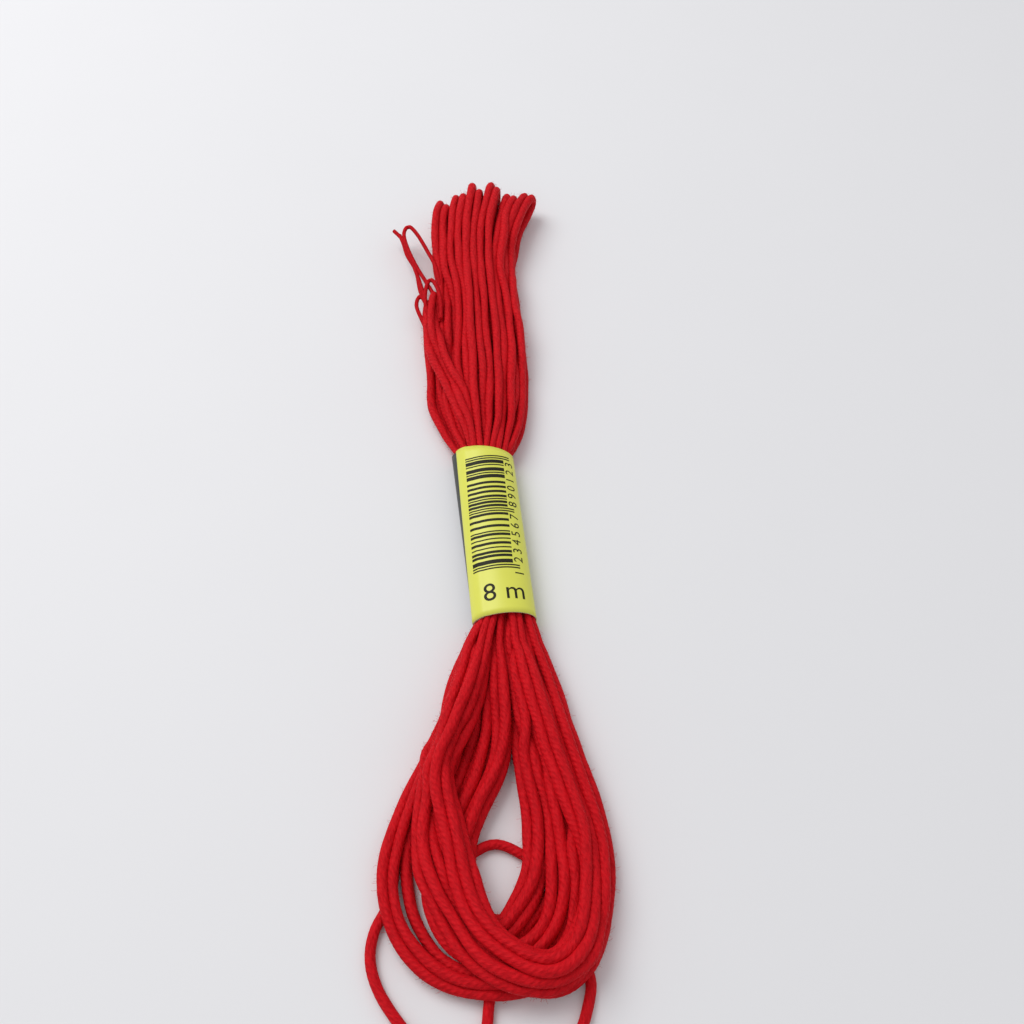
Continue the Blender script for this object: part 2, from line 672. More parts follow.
def loose_lines():
    """The lines of the slipped turn and of the cut end, with their hidden stretches."""
    turn = route(LOOSE_TURN_START, LOOSE_TURN, LOOSE_TURN_END)
    tail = route(LOOSE_TAIL_START, LOOSE_TAIL)
    return [turn, tail]


def strand_radius(y, free_radius):
    """Radius at a distance y along the skein: squeezed in the band, and full beyond it."""
    distance = np.abs(y - BAND_SHIFT)
    to_mouth = BAND_HALF_LENGTH - SQUEEZED_HALF_LENGTH
    in_mouth = np.clip((distance - SQUEEZED_HALF_LENGTH) / to_mouth, 0.0, 1.0)
    swell = np.clip((distance - BAND_HALF_LENGTH) / (SWELL_END_Y - BAND_HALF_LENGTH), 0.0, 1.0)
    swell = swell * swell * (3.0 - 2.0 * swell)
    squeezed = RADIUS_IN_BAND + (RADIUS_AT_MOUTH - RADIUS_IN_BAND) * in_mouth
    return squeezed + (free_radius - squeezed) * swell


def waist_slots():
    """Columns of places in the band, from left to right and from the lowest up."""
    columns = []
    middle = (len(WAIST_COLUMNS) - 1) / 2.0
    for column, count in enumerate(WAIST_COLUMNS):
        x = (column - middle) * COLUMN_PITCH
        heights = (np.arange(count) - (count - 1) / 2.0) * ROW_PITCH + WAIST_MIDDLE_Z
        columns.append([(x, z) for z in heights])
    return columns


def assign_slots(ends):
    """A slot for each strand's end: the ends fill the columns by their x, and each column by their z."""
    order = sorted(range(len(ends)), key=lambda i: ends[i][0])
    slots = {}
    for column in waist_slots():
        taken = sorted(order[: len(column)], key=lambda i: ends[i][2])
        order = order[len(column) :]
        for i, slot in zip(taken, column):
            slots[i] = slot
    return slots


def waist_run(slot, sign):
    """Points of a strand in its slot, from the band's middle outwards."""
    return [(slot[0], sign * y, slot[1]) for y in WAIST_STEPS]


def rope_sides(rows):
    """The level direction across a rope at each of its rows."""
    along = np.gradient(rows[:, :2], axis=0)
    along /= np.linalg.norm(along, axis=1)[:, None]
    return np.column_stack((-along[:, 1], along[:, 0], np.zeros(len(rows))))


def offset_strand(rows, across, up, radius, turn_deg=0.0):
    """A strand beside its rope's middle line; the offset turns about that line by turn_deg on the way."""
    share = np.linspace(0.0, 1.0, len(rows))
    angle = np.radians(turn_deg) * share
    a = across * np.cos(angle) - up * np.sin(angle)
    b = across * np.sin(angle) + up * np.cos(angle)
    width = np.maximum(rows[:, 3] - radius, LEAST_SPREAD)
    height = np.maximum(rows[:, 4] - radius, LEAST_SPREAD)
    line = rows[:, :3] + rope_sides(rows) * (a * width)[:, None]
    line[:, 2] += b * height
    return line


def loop_strands(radius):
    """The line of every strand of the open loop, from the band's left round to its right."""
    strands = []
    for rope in LOOP_ROPES:
        rows = smooth_curve(rope.table, ROPE_STEPS)
        beyond = rows[np.abs(rows[:, 1]) >= ROPE_START_Y]
        for spot in rope.places:
            strands.append(offset_strand(beyond, spot.across, spot.up, radius, rope.turn_deg))
    return strands


def fan_strands(radius):
    """The line of every folded turn of the fan, from the band over the fold and back beneath."""
    strands = []
    for group in FAN_GROUPS:
        out_rows, back_rows = (smooth_curve(table, ROPE_STEPS) for table in (group.out, group.back))
        out_rows = out_rows[out_rows[:, 1] >= FAN_START_Y]
        back_rows = back_rows[back_rows[:, 1] >= FAN_START_Y]
        for fold in group.folds:
            upper = shortened(offset_strand(out_rows, fold.across, fold.up, radius), fold.short)
            lower = shortened(offset_strand(back_rows, fold.across, -fold.up, radius), fold.short)
            strands.append(np.vstack((upper, fold_over(upper, lower), lower[::-1])))
    return strands


def shortened(line, short):
    """The line without its last stretch, which leaves room for its fold."""
    left = lengths_along(line[::-1])[::-1]
    return line[left >= short + FOLD_ROOM]


def fold_over(upper, lower):
    """Points round the end of a fold, from the upper leg's end to the lower leg's."""
    middle = (upper[-1] + lower[-1]) / 2.0
    half = (upper[-1] - lower[-1]) / 2.0
    forward = upper[-1] - upper[-3]
    forward[2] = 0.0
    forward /= np.linalg.norm(forward)
    reach = max(np.linalg.norm(half), LEAST_REACH)
    turn = [
        middle + forward * reach * math.cos(angle) + half * math.sin(angle)
        for angle in np.radians(FOLD_ANGLES_DEG)
    ]
    return np.array(turn)


def join_waist(lines, sign):
    """Adds each strand's run into the band at both its ends, and spaces its points evenly."""
    ends = [end for line in lines for end in (line[0], line[-1])]
    slots = assign_slots(ends)
    whole = []
    for i, line in enumerate(lines):
        start = waist_run(slots[2 * i], sign)
        finish = waist_run(slots[2 * i + 1], sign)
        rows = np.vstack((start, line, finish[::-1]))
        whole.append(evenly_spaced(smooth_curve(rows, JOIN_STEPS), SPACING))
    return whole


def waver(points, rng):
    """Slow sideways and upward wandering, none of it in the band."""
    along = lengths_along(points)
    drift = np.zeros_like(points)
    for length in WAVER_LENGTHS:
        for axis in range(3):
            phase = rng.uniform(0.0, 2.0 * math.pi)
            size = WAVER * rng.uniform(0.4, 1.0) / len(WAVER_LENGTHS) * 2.0
            drift[:, axis] += size * np.sin(2.0 * math.pi * along / length + phase)
    return points + drift * freed_share(points[:, 1])[:, None]


def near_pairs(points, owner, order):
    """Pairs of points that may touch: close together, and not neighbours on one strand."""
    tree = KDTree(len(points))
    for i, point in enumerate(points):
        tree.insert(point, i)
    tree.balance()
    first, second = [], []
    for i, point in enumerate(points):
        for _, j, _ in tree.find_range(point, PAIR_REACH):
            if j > i and (owner[i] != owner[j] or abs(order[i] - order[j]) > OWN_NEIGHBOURS):
                first.append(i)
                second.append(j)
    return np.array(first), np.array(second)


def add_at(target, index, vectors):
    """Adds vectors to the rows of target that index names, also where a row is named more than once."""
    for axis in range(3):
        target[:, axis] += np.bincount(index, vectors[:, axis], len(target))


def settle(lines, radii, held):
    """Pushes overlapping strands apart, lets them sink and keeps their shape.

    Held strands don't move. The others' ends stay where they are, and in the band they stay inside its paper.
    """
    points = np.vstack(lines)
    radius = np.concatenate(radii)
    owner = np.concatenate([np.full(len(line), i) for i, line in enumerate(lines)])
    order = np.concatenate([np.arange(len(line)) for line in lines])
    fixed = np.concatenate([np.full(len(line), stays) for line, stays in zip(lines, held)])
    inner = np.flatnonzero((owner[1:-1] == owner[:-2]) & (owner[1:-1] == owner[2:])) + 1
    is_end = np.ones(len(points), bool)
    is_end[inner] = False
    fixed |= is_end
    home = points.copy()
    bend = (home[inner - 1] + home[inner + 1]) / 2.0 - home[inner]
    links = np.flatnonzero(owner[1:] == owner[:-1])
    link_length = np.linalg.norm(home[links + 1] - home[links], axis=1)
    pull = np.array((PULL_LEVEL, PULL_LEVEL, PULL_HEIGHT))
    for step in range(ROUNDS):
        if step % PAIR_ROUNDS == 0:
            first, second = near_pairs(points, owner, order)
        points += (home - points) * pull
        points[:, 2] -= SAG
        lean = (points[inner - 1] + points[inner + 1]) / 2.0 - points[inner]
        points[inner] += (lean - bend) * SHAPE_KEEPING
        gap = points[links + 1] - points[links]
        length = np.linalg.norm(gap, axis=1)
        shift = gap * ((length - link_length) / np.maximum(length, TINY) * LENGTH_KEEPING)[:, None]
        add_at(points, links, shift)
        add_at(points, links + 1, -shift)
        gap = points[second] - points[first]
        distance = np.maximum(np.linalg.norm(gap, axis=1), TINY)
        wanted = (radius[first] + radius[second]) * SNUGNESS
        overlap = np.clip(wanted - distance, 0.0, MOST_OVERLAP)
        push = gap * (overlap / distance * PUSH * 0.5)[:, None]
        add_at(points, second, push)
        add_at(points, first, -push)
        inside_paper(points, radius)
        points[:, 2] = np.maximum(points[:, 2], radius)
        points[fixed] = home[fixed]
    ends = np.cumsum([len(line) for line in lines])[:-1]
    return np.split(points, ends)


def inside_paper(points, radius):
    """Draws the points that are in the band back inside its oval."""
    within = np.flatnonzero(np.abs(points[:, 1] - BAND_SHIFT) < BAND_HALF_LENGTH + MOUTH_MARGIN)
    across = BAND_HALF_WIDTH - PAPER_GAP - radius[within]
    height = BAND_HALF_HEIGHT - PAPER_GAP - radius[within]
    lean = far_share(points[within, 1] - BAND_SHIFT) * FAR_LEAN
    x = points[within, 0] + lean
    z = points[within, 2] - BAND_AXIS_Z
    outside = np.maximum(np.sqrt((x / across) ** 2 + (z / height) ** 2), 1.0)
    points[within, 0] = x / outside - lean
    points[within, 2] = z / outside + BAND_AXIS_Z


def uneven(radii, line, rng):
    """Radii that vary a little from strand to strand and along each strand, but not in the band."""
    along = lengths_along(line)
    change = rng.uniform(-STRAND_UNEVENNESS, STRAND_UNEVENNESS) * np.ones(len(line))
    for length in WAVER_LENGTHS[:2]:
        phase = rng.uniform(0.0, 2.0 * math.pi)
        change += LENGTH_UNEVENNESS * np.sin(2.0 * math.pi * along / length + phase)
    return radii * (1.0 + change * freed_share(line[:, 1]))


def tip_swell(y):
    """How many times thicker a strand is at a distance y along the skein, for the folds' thicker tips."""
    return 1.0 + TIP_SWELL * np.clip((y - TIP_SWELL_START_Y) / TIP_SWELL_LENGTH, 0.0, 1.0)


def wound_floss(settings):
    """The settled strands and their radii: those of the loop, those of the fan and the one across the eye."""
    if "wound" in shared:
        return shared["wound"]
    rng = np.random.default_rng(SEED)
    loop_radius = settings.loop_diameter / MM / 2.0
    fan_radius = settings.fan_diameter / MM / 2.0
    loop = [waver(line, rng) for line in join_waist(loop_strands(loop_radius), -1.0)]
    fan = [waver(line, rng) for line in join_waist(fan_strands(fan_radius), 1.0)]
    eye = [route(EYE_STRAND)]
    resting = eye + loose_lines()
    lines = loop + fan + resting
    free = [loop_radius] * len(loop) + [fan_radius] * len(fan) + [loop_radius] * len(resting)
    radii = [uneven(strand_radius(line[:, 1], radius), line, rng) for line, radius in zip(lines, free)]
    radii = [radius * tip_swell(line[:, 1]) for line, radius in zip(lines, radii)]
    held = [False] * (len(loop) + len(fan)) + [True] * len(resting)
    settled = settle(lines, radii, held)
    last_loop = len(loop)
    last_fan = last_loop + len(fan)
    shared["wound"] = {
        "loop": list(zip(settled[:last_loop], radii[:last_loop])),
        "fan": list(zip(settled[last_loop:last_fan], radii[last_loop:last_fan])),
        "eye": [(eye[0], radii[last_fan])],
    }
    return shared["wound"]


def link_mesh(name, mesh, material=None):
    """Puts a mesh in the scene as an object of this name."""
    mesh.name = name
    obj = bpy.data.objects.new(name, mesh)
    bpy.context.scene.collection.objects.link(obj)
    if material and not mesh.materials:
        mesh.materials.append(material)
    return obj


def strand_lines(name, strands, rng):
    """A mesh of bare lines, with each point's radius, and each strand's own starting twist and tone."""
    verts, edges, radius, phase, tone = [], [], [], [], []
    for points, radii in strands:
        first = len(verts)
        verts.extend(place(points))
        edges.extend((i, i + 1) for i in range(first, len(verts) - 1))
        radius.extend(radii * MM)
        phase.extend([rng.uniform(0.0, 2.0 * math.pi)] * len(points))
        tone.extend([rng.uniform(0.0, 1.0)] * len(points))
    mesh = bpy.data.meshes.new(name)
    mesh.from_pydata([tuple(vert) for vert in verts], edges, [])
    for label, values in (("strand_radius", radius), ("twist_phase", phase), ("tone", tone)):
        mesh.attributes.new(label, "FLOAT", "POINT").data.foreach_set("value", values)
    return link_mesh(name, mesh)


class TreeMaker:
    """Adds and links the nodes of one tree."""

    def __init__(self, tree):
        self.tree = tree

    def node(self, kind, values=None, **settings):
        """A node with these settings, and its sockets joined or set by name or number."""
        made = self.tree.nodes.new(kind)
        for label, value in settings.items():
            setattr(made, label, value)
        for socket, value in (values or {}).items():
            target = made.inputs[socket]
            if isinstance(value, bpy.types.NodeSocket):
                self.tree.links.new(value, target)
            else:
                target.default_value = value
        return made

    def math(self, operation, *values):
        """One sum, product or function of numbers."""
        return self.node("ShaderNodeMath", dict(enumerate(values)), operation=operation).outputs[0]


def new_geometry_tree(name, inputs):
    """An empty Geometry Nodes tree with these named inputs, and its maker and its input node."""
    tree = bpy.data.node_groups.new(name, "GeometryNodeTree")
    tree.interface.new_socket("Geometry", in_out="INPUT", socket_type="NodeSocketGeometry")
    for label, kind, value in inputs:
        socket = tree.interface.new_socket(label, in_out="INPUT", socket_type=kind)
        if value is not None:
            socket.default_value = value
    tree.interface.new_socket("Geometry", in_out="OUTPUT", socket_type="NodeSocketGeometry")
    return tree, TreeMaker(tree), tree.nodes.new("NodeGroupInput").outputs


def finish_geometry_tree(make, geometry, material):
    """Ends a tree in Realize Instances and Set Material."""
    realized = make.node("GeometryNodeRealizeInstances", {"Geometry": geometry})
    painted = make.node("GeometryNodeSetMaterial", {"Geometry": realized.outputs[0], "Material": material})
    make.node("NodeGroupOutput", {"Geometry": painted.outputs[0]})


def named_float(make, name):
    """Reads a number stored on the geometry."""
    node = make.node("GeometryNodeInputNamedAttribute", {"Name": name}, data_type="FLOAT")
    return node.outputs["Attribute"]


def store(make, geometry, name, value, data_type="FLOAT"):
    """Stores a value on the points of a geometry."""
    node = make.node(
        "GeometryNodeStoreNamedAttribute",
        {"Geometry": geometry, "Name": name, "Value": value},
        data_type=data_type,
        domain="POINT",
    )
    return node.outputs["Geometry"]


def thread_tree():
    """Sweeps a lobed, slowly turning section along each line, and keeps each point's place on its strand."""
    if "thread_tree" in shared:
        return shared["thread_tree"]
    tree, make, given = new_geometry_tree(
        "thread",
        (
            ("Step", "NodeSocketFloat", THREAD_STEP),
            ("Sides", "NodeSocketInt", THREAD_SIDES),
            ("Plies", "NodeSocketInt", 6),
            ("Ply Depth", "NodeSocketFloat", 0.13),
            ("Ply Pitch", "NodeSocketFloat", 0.015),
            ("Material", "NodeSocketMaterial", None),
        ),
    )
    curve = make.node("GeometryNodeMeshToCurve", {"Mesh": given["Geometry"]}).outputs[0]
    steps = {"Curve": curve, "Length": given["Step"]}
    resample = make.node("GeometryNodeResampleCurve", steps, mode="LENGTH")
    along = make.node("GeometryNodeSplineParameter").outputs["Length"]
    curve = store(make, resample.outputs[0], "along", along)
    turns = make.math("DIVIDE", named_float(make, "along"), given["Ply Pitch"])
    turned = make.math("MULTIPLY", turns, 2.0 * math.pi)
    twist = make.math("ADD", turned, named_float(make, "twist_phase"))
    tilted = make.node("GeometryNodeSetCurveTilt", {"Curve": curve, "Tilt": twist}).outputs[0]

    circle = make.node("GeometryNodeCurvePrimitiveCircle", {"Resolution": given["Sides"], "Radius": 1.0})
    position = make.node("GeometryNodeInputPosition").outputs[0]
    ring = store(make, circle.outputs[0], "around", position, "FLOAT_VECTOR")
    split = make.node("ShaderNodeSeparateXYZ", {0: position})
    bearing = make.math("ARCTAN2", split.outputs[1], split.outputs[0])
    lobes = make.math("COSINE", make.math("MULTIPLY", bearing, given["Plies"]))
    valley = make.math("MULTIPLY", make.math("SUBTRACT", 1.0, lobes), 0.5)
    depth = make.math("MULTIPLY", make.math("POWER", valley, LOBE_SHARPNESS), given["Ply Depth"])
    reach = make.math("SUBTRACT", 1.0, depth)
    lobed = make.node("ShaderNodeVectorMath", {0: position, "Scale": reach}, operation="SCALE")
    shaped = {"Geometry": ring, "Position": lobed.outputs[0]}
    profile = make.node("GeometryNodeSetPosition", shaped).outputs[0]

    swept = make.node(
        "GeometryNodeCurveToMesh",
        {
            "Curve": tilted,
            "Profile Curve": profile,
            "Scale": named_float(make, "strand_radius"),
            "Fill Caps": True,
        },
    ).outputs[0]
    around = make.node("GeometryNodeInputNamedAttribute", {"Name": "around"}, data_type="FLOAT_VECTOR")
    axes = make.node("ShaderNodeSeparateXYZ", {0: around.outputs["Attribute"]})
    where = make.node(
        "ShaderNodeCombineXYZ",
        {0: axes.outputs[0], 1: axes.outputs[1], 2: named_float(make, "along")},
    )
    marked = store(make, swept, "strand_place", where.outputs[0], "FLOAT_VECTOR")
    smooth = make.node("GeometryNodeSetShadeSmooth", {"Geometry": marked}).outputs[0]
    finish_geometry_tree(make, smooth, given["Material"])
    shared["thread_tree"] = tree
    return tree


def run_tree(obj, tree, values):
    """Runs a tree on an object with these inputs, and returns the result as a plain mesh."""
    modifier = obj.modifiers.new("maker", "NODES")
    modifier.node_group = tree
    for item in tree.interface.items_tree:
        if item.item_type == "SOCKET" and item.in_out == "INPUT" and item.name in values:
            modifier[item.identifier] = values[item.name]
    bpy.context.view_layer.update()
    evaluated = obj.evaluated_get(bpy.context.evaluated_depsgraph_get())
    mesh = bpy.data.meshes.new_from_object(evaluated)
    obj.modifiers.remove(modifier)
    return mesh


def sweep_thread(name, strands, settings, rng, plies=None, pitch=None, sides=THREAD_SIDES, step=THREAD_STEP):
    """One piece of thread along these strands."""
    lines = strand_lines(name + "_lines", strands, rng)
    values = {
        "Step": step,
        "Sides": sides,
        "Plies": plies or settings.plies,
        "Ply Depth": settings.ply_depth,
        "Ply Pitch": pitch or settings.ply_pitch,
        "Material": floss_material(settings),
    }
    mesh = run_tree(lines, thread_tree(), values)
    bpy.data.objects.remove(lines, do_unlink=True)
    for label in ("around", "along", "strand_radius", "twist_phase"):
        if label in mesh.attributes:
            mesh.attributes.remove(mesh.attributes[label])
    return link_mesh(name, mesh)


def principled(name):
    """A new material, the maker of its nodes and its shader."""
    material = bpy.data.materials.new(name)
    material.use_nodes = True
    return material, TreeMaker(material.node_tree), material.node_tree.nodes["Principled BSDF"]


def opaque(colour, share=1.0):
    """A colour at this share of its brightness, with full opacity."""
    return (*(channel * share for channel in colour), 1.0)


def mix_colour(make, factor, low, high):
    """A colour between two others."""
    node = make.node("ShaderNodeMix", {0: factor, 6: low, 7: high}, data_type="RGBA")
    return node.outputs[2]


def noise(make, vector, scale, detail):
    """Soft unevenness over a vector, with about this many patches to one unit of it."""
    node = make.node("ShaderNodeTexNoise", {"Vector": vector, "Scale": scale, "Detail": detail})
    return node.outputs[0]


def place_in_metres(make):
    """Where each point of a surface lies."""
    return make.node("ShaderNodeTexCoord").outputs["Object"]


# The cotton's fine relief: how narrow the valleys between plies look, how closely the fibres change along a
# strand, how steeply the yarns slant round it, and what fibres, yarns and valleys add to its height.
VALLEY_SHARPNESS = 2.2
FIBRE_CHANGE = 420.0
YARN_SLANT = 4.0
FIBRE_HEIGHT = 0.6
YARN_HEIGHT = 0.8
VALLEY_HEIGHT = 0.15

# The cotton's colour: the levels of fibre and yarn that leave it as it is, and how much each unevenness
# darkens it.
FIBRE_LEVEL = 0.58
FIBRE_SHADE = 2.1
YARN_LEVEL = 0.42
YARN_SHADE = 0.35
VALLEY_SHADE = 0.05
TONE_SHADE = 0.16
MOTTLE_SHADE = 0.3


def spun_cotton_group():
    """Shader group: fine slanting fibres and yarns on a strand, and the valleys between its plies."""
    if "spun_cotton" in shared:
        return shared["spun_cotton"]
    group = bpy.data.node_groups.new("spun_cotton", "ShaderNodeTree")
    inputs = (("Plies", 6.0), ("Fibre Scale", 2.6), ("Yarn Pitch", 0.0008), ("Fibre Pitch", 0.008))
    for label, value in inputs:
        socket = group.interface.new_socket(label, in_out="INPUT", socket_type="NodeSocketFloat")
        socket.default_value = value
    for label in ("Valley", "Fibre", "Yarn", "Height"):
        group.interface.new_socket(label, in_out="OUTPUT", socket_type="NodeSocketFloat")
    make = TreeMaker(group)
    given = group.nodes.new("NodeGroupInput").outputs
    spot = make.node("ShaderNodeAttribute", attribute_name="strand_place", attribute_type="GEOMETRY")
    axes = make.node("ShaderNodeSeparateXYZ", {0: spot.outputs["Vector"]})
    angle = make.math("ARCTAN2", axes.outputs[1], axes.outputs[0])
    bearing = make.math("MULTIPLY", angle, given["Plies"])
    valley = make.math("MULTIPLY", make.math("SUBTRACT", 1.0, make.math("COSINE", bearing)), 0.5)
    valley = make.math("POWER", valley, VALLEY_SHARPNESS)
    fibre_turns = make.math("DIVIDE", axes.outputs[2], given["Fibre Pitch"])
    slanted = make.math("ADD", angle, make.math("MULTIPLY", fibre_turns, 2.0 * math.pi))
    stretched = make.node(
        "ShaderNodeCombineXYZ",
        {
            0: make.math("COSINE", slanted),
            1: make.math("SINE", slanted),
            2: make.math("MULTIPLY", axes.outputs[2], FIBRE_CHANGE),
        },
    )
    fibre = noise(make, stretched.outputs[0], scale=given["Fibre Scale"], detail=3.0)
    yarn_turns = make.math("DIVIDE", axes.outputs[2], given["Yarn Pitch"])
    lengthwise = make.math("MULTIPLY", yarn_turns, 2.0 * math.pi)
    slant = make.math("ADD", lengthwise, make.math("MULTIPLY", angle, YARN_SLANT))
    yarn = make.math("MULTIPLY", make.math("ADD", make.math("SINE", slant), 1.0), 0.5)
    yarn = make.math("MULTIPLY", yarn, fibre)
    relief = make.math("MULTIPLY", fibre, FIBRE_HEIGHT)
    relief = make.math("ADD", relief, make.math("MULTIPLY", yarn, YARN_HEIGHT))
    height = make.math("SUBTRACT", relief, make.math("MULTIPLY", valley, VALLEY_HEIGHT))
    make.node("NodeGroupOutput", {"Valley": valley, "Fibre": fibre, "Yarn": yarn, "Height": height})
    shared["spun_cotton"] = group
    return group


def floss_material(settings):
    """Dyed cotton: matt, with fine fibres, and a little uneven from strand to strand and along each."""
    if "floss_material" in shared:
        return shared["floss_material"]
    material, make, shader = principled("red_floss")
    spun = make.node("ShaderNodeGroup", node_tree=spun_cotton_group())
    spun.inputs["Plies"].default_value = float(settings.plies)
    tone = make.node("ShaderNodeAttribute", attribute_name="tone", attribute_type="GEOMETRY").outputs["Fac"]
    mottle = noise(make, place_in_metres(make), scale=210.0, detail=2.0)
    shade = make.math("MULTIPLY", make.math("SUBTRACT", FIBRE_LEVEL, spun.outputs["Fibre"]), FIBRE_SHADE)
    thin_yarn = make.math("SUBTRACT", YARN_LEVEL, spun.outputs["Yarn"])
    shade = make.math("ADD", shade, make.math("MULTIPLY", thin_yarn, YARN_SHADE))
    shade = make.math("ADD", shade, make.math("MULTIPLY", spun.outputs["Valley"], VALLEY_SHADE))
    shade = make.math("ADD", shade, make.math("MULTIPLY", make.math("SUBTRACT", tone, 0.5), TONE_SHADE))
    shade = make.math("ADD", shade, make.math("MULTIPLY", make.math("SUBTRACT", mottle, 0.5), MOTTLE_SHADE))
    shade = make.node("ShaderNodeClamp", {0: shade}).outputs[0]
    colour = mix_colour(make, shade, opaque(settings.colour), opaque(settings.valley_colour))
    rough = make.math("SUBTRACT", 0.82, make.math("MULTIPLY", spun.outputs["Fibre"], 0.3))
    bump = make.node(
        "ShaderNodeBump", {"Height": spun.outputs["Height"], "Distance": 0.00018, "Strength": 0.9}
    )
    links = material.node_tree.links
    links.new(colour, shader.inputs["Base Color"])
    links.new(rough, shader.inputs["Roughness"])
    links.new(bump.outputs[0], shader.inputs["Normal"])
    shader.inputs["Metallic"].default_value = 0.0
    shader.inputs["Specular IOR Level"].default_value = 0.12
    shader.inputs["Sheen Weight"].default_value = 0.06
    shader.inputs["Sheen Roughness"].default_value = 0.4
    shader.inputs["Sheen Tint"].default_value = (1.0, 0.12, 0.14, 1.0)
    shared["floss_material"] = material
    return material


def finish_piece(obj, slot, *replaced):
    """Hangs a finished piece on the body, names its finish and the solids that it stands for."""
    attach(obj, BODY)
    if replaced:
        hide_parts(*replaced)


class SKEIN_OT_set_stage(bpy.types.Operator):
    """Lays the pale table top, and sets the soft light and the camera."""

    bl_idname = "skein.set_stage"
    bl_label = "Set the Stage"

    def execute(self, context):
        settings = context.scene.skein_stage
        bpy.ops.mesh.primitive_plane_add(size=FLOOR_SIZE, location=(0.0, 0.0, 0.0))
        floor = context.active_object
        floor.name = "table_top"
        floor.data.materials.append(self.floor_material(settings))

        world = bpy.data.worlds.new("studio")
        context.scene.world = world
        world.use_nodes = True
        sky = world.node_tree.nodes["Background"]
        sky.inputs["Color"].default_value = SKY_COLOUR
        sky.inputs["Strength"].default_value = settings.sky_strength

        self.add_light(context, "key", Vector(KEY_PLACE), KEY_SIZE, settings.key_power)

        camera = bpy.data.objects.new("camera", bpy.data.cameras.new("camera"))
        context.scene.collection.objects.link(camera)
        camera.data.sensor_width = 36.0
        camera.data.lens = settings.lens
        camera.data.clip_start = 0.005
        camera.location = place(CAMERA_PLACE)
        camera.rotation_euler = (math.radians(CAMERA_TILT_DEG), 0.0, math.radians(CAMERA_TURN_DEG))
        context.scene.camera = camera
        context.scene.view_settings.view_transform = "Standard"
        return {"FINISHED"}

    def floor_material(self, settings):
        """A matt, nearly even table top."""
        material, make, shader = principled("table_top")
        speckle = noise(make, place_in_metres(make), scale=40.0, detail=4.0)
        darker = opaque(settings.floor_colour, 0.985)
        colour = mix_colour(make, speckle, darker, opaque(settings.floor_colour))
        material.node_tree.links.new(colour, shader.inputs["Base Color"])
        shader.inputs["Roughness"].default_value = 0.6
        return material

    def add_light(self, context, name, location, size, power):
        """A square light that faces the skein."""
        data = bpy.data.lights.new(name, "AREA")
        data.size = size
        data.energy = power
        lamp = bpy.data.objects.new(name, data)
        lamp.location = location
        lamp.rotation_euler = (-location).to_track_quat("-Z", "Y").to_euler()
        context.scene.collection.objects.link(lamp)


class SKEIN_OT_lay_loose_ends(bpy.types.Operator):
    """Lays the slipped turn and the cut end on the table in front of the loop."""

    bl_idname = "skein.lay_loose_ends"
    bl_label = "Lay Loose Ends"

    def execute(self, context):
        settings = context.scene.skein_floss
        turn, tail = loose_lines()
        rng = np.random.default_rng(SEED + 1)
        ends = (
            ("slipped_turn", turn, "object", "loose_turn"),
            ("cut_end", tail, "bare", "loose_tail"),
        )
        for name, line, far_end, solid in ends:
            radius = np.full(len(line), settings.loose_diameter / MM / 2.0)
            piece = sweep_thread(name, [(line, radius)], settings, rng)
            finish_piece(piece, FLOSS_SLOT, solid)
        return {"FINISHED"}


class SKEIN_OT_wind_floss(bpy.types.Operator):
    """Winds the strands of the loop and of the fan."""

    bl_idname = "skein.wind_floss"
    bl_label = "Wind the Floss"

    def execute(self, context):
        settings = context.scene.skein_floss
        wound = wound_floss(settings)
        rng = np.random.default_rng(SEED + 2)
        loop = wound["loop"]
        fan = wound["fan"]
        over = sum(len(rope.places) for rope in LOOP_ROPES[:OVER_ROPES])
        left = sum(len(group.folds) for group in FAN_GROUPS[:LEFT_GROUPS])
        pieces = {
            "loop_over": loop[:over],
            "loop_under": loop[over:] + wound["eye"],
            "fan_left": fan[:left],
            "fan_right": fan[left:],
        }
        for name, strands in pieces.items():
            piece = sweep_thread(name, strands, settings, rng)
            finish_piece(piece, FLOSS_SLOT, "floss")
        return {"FINISHED"}


class SKEIN_OT_split_plies(bpy.types.Operator):
    """Draws out the plies that have split from the fan's left side."""

    bl_idname = "skein.split_plies"
    bl_label = "Split Plies"

    def execute(self, context):
        settings = context.scene.skein_floss
        rng = np.random.default_rng(SEED + 3)
        radius = settings.ply_diameter / MM / 2.0
        strands = []
        for table in SPLIT_PLIES:
            line = route(table)
            strands.append((line, np.full(len(line), radius)))
        piece = sweep_thread(
            "split_plies", strands, settings, rng, SPLIT_YARNS, SPLIT_PITCH, SPLIT_SIDES, SPLIT_STEP
        )
        finish_piece(piece, FLOSS_SLOT, "floss")
        return {"FINISHED"}


def oval_angle_table():
    """Angles round the band's oval, from the top to the right and on, with the distance along it to each."""
    angles = np.radians(np.linspace(90.0, -270.0, 721))
    x = BAND_HALF_WIDTH * np.cos(angles)
    z = np.maximum(BAND_AXIS_Z + BAND_HALF_HEIGHT * np.sin(angles), 0.0)
    along = np.concatenate(((0.0,), np.cumsum(np.hypot(np.diff(x), np.diff(z)))))
    return angles, along


def oval_point(angle, y, inset):
    """A point on the band, inset from its outside, in millimetres; the far mouth is a little to the left."""
    x = (BAND_HALF_WIDTH - inset) * math.cos(angle) - far_share(y - BAND_SHIFT) * FAR_LEAN
    z = BAND_AXIS_Z + (BAND_HALF_HEIGHT - inset) * math.sin(angle)
    return x, y, max(z, inset, 0.0)


# The strip starts under the lap, goes down the left side, under, up the right side and over the top to its
# cut edge. It is dark up to YELLOW_START_DEG and yellow beyond.
STRIP_START_DEG = 132.0
STRIP_END_DEG = 528.0
YELLOW_START_DEG = 322.0
STRIP_STEPS = 176
BAND_STEPS = 30

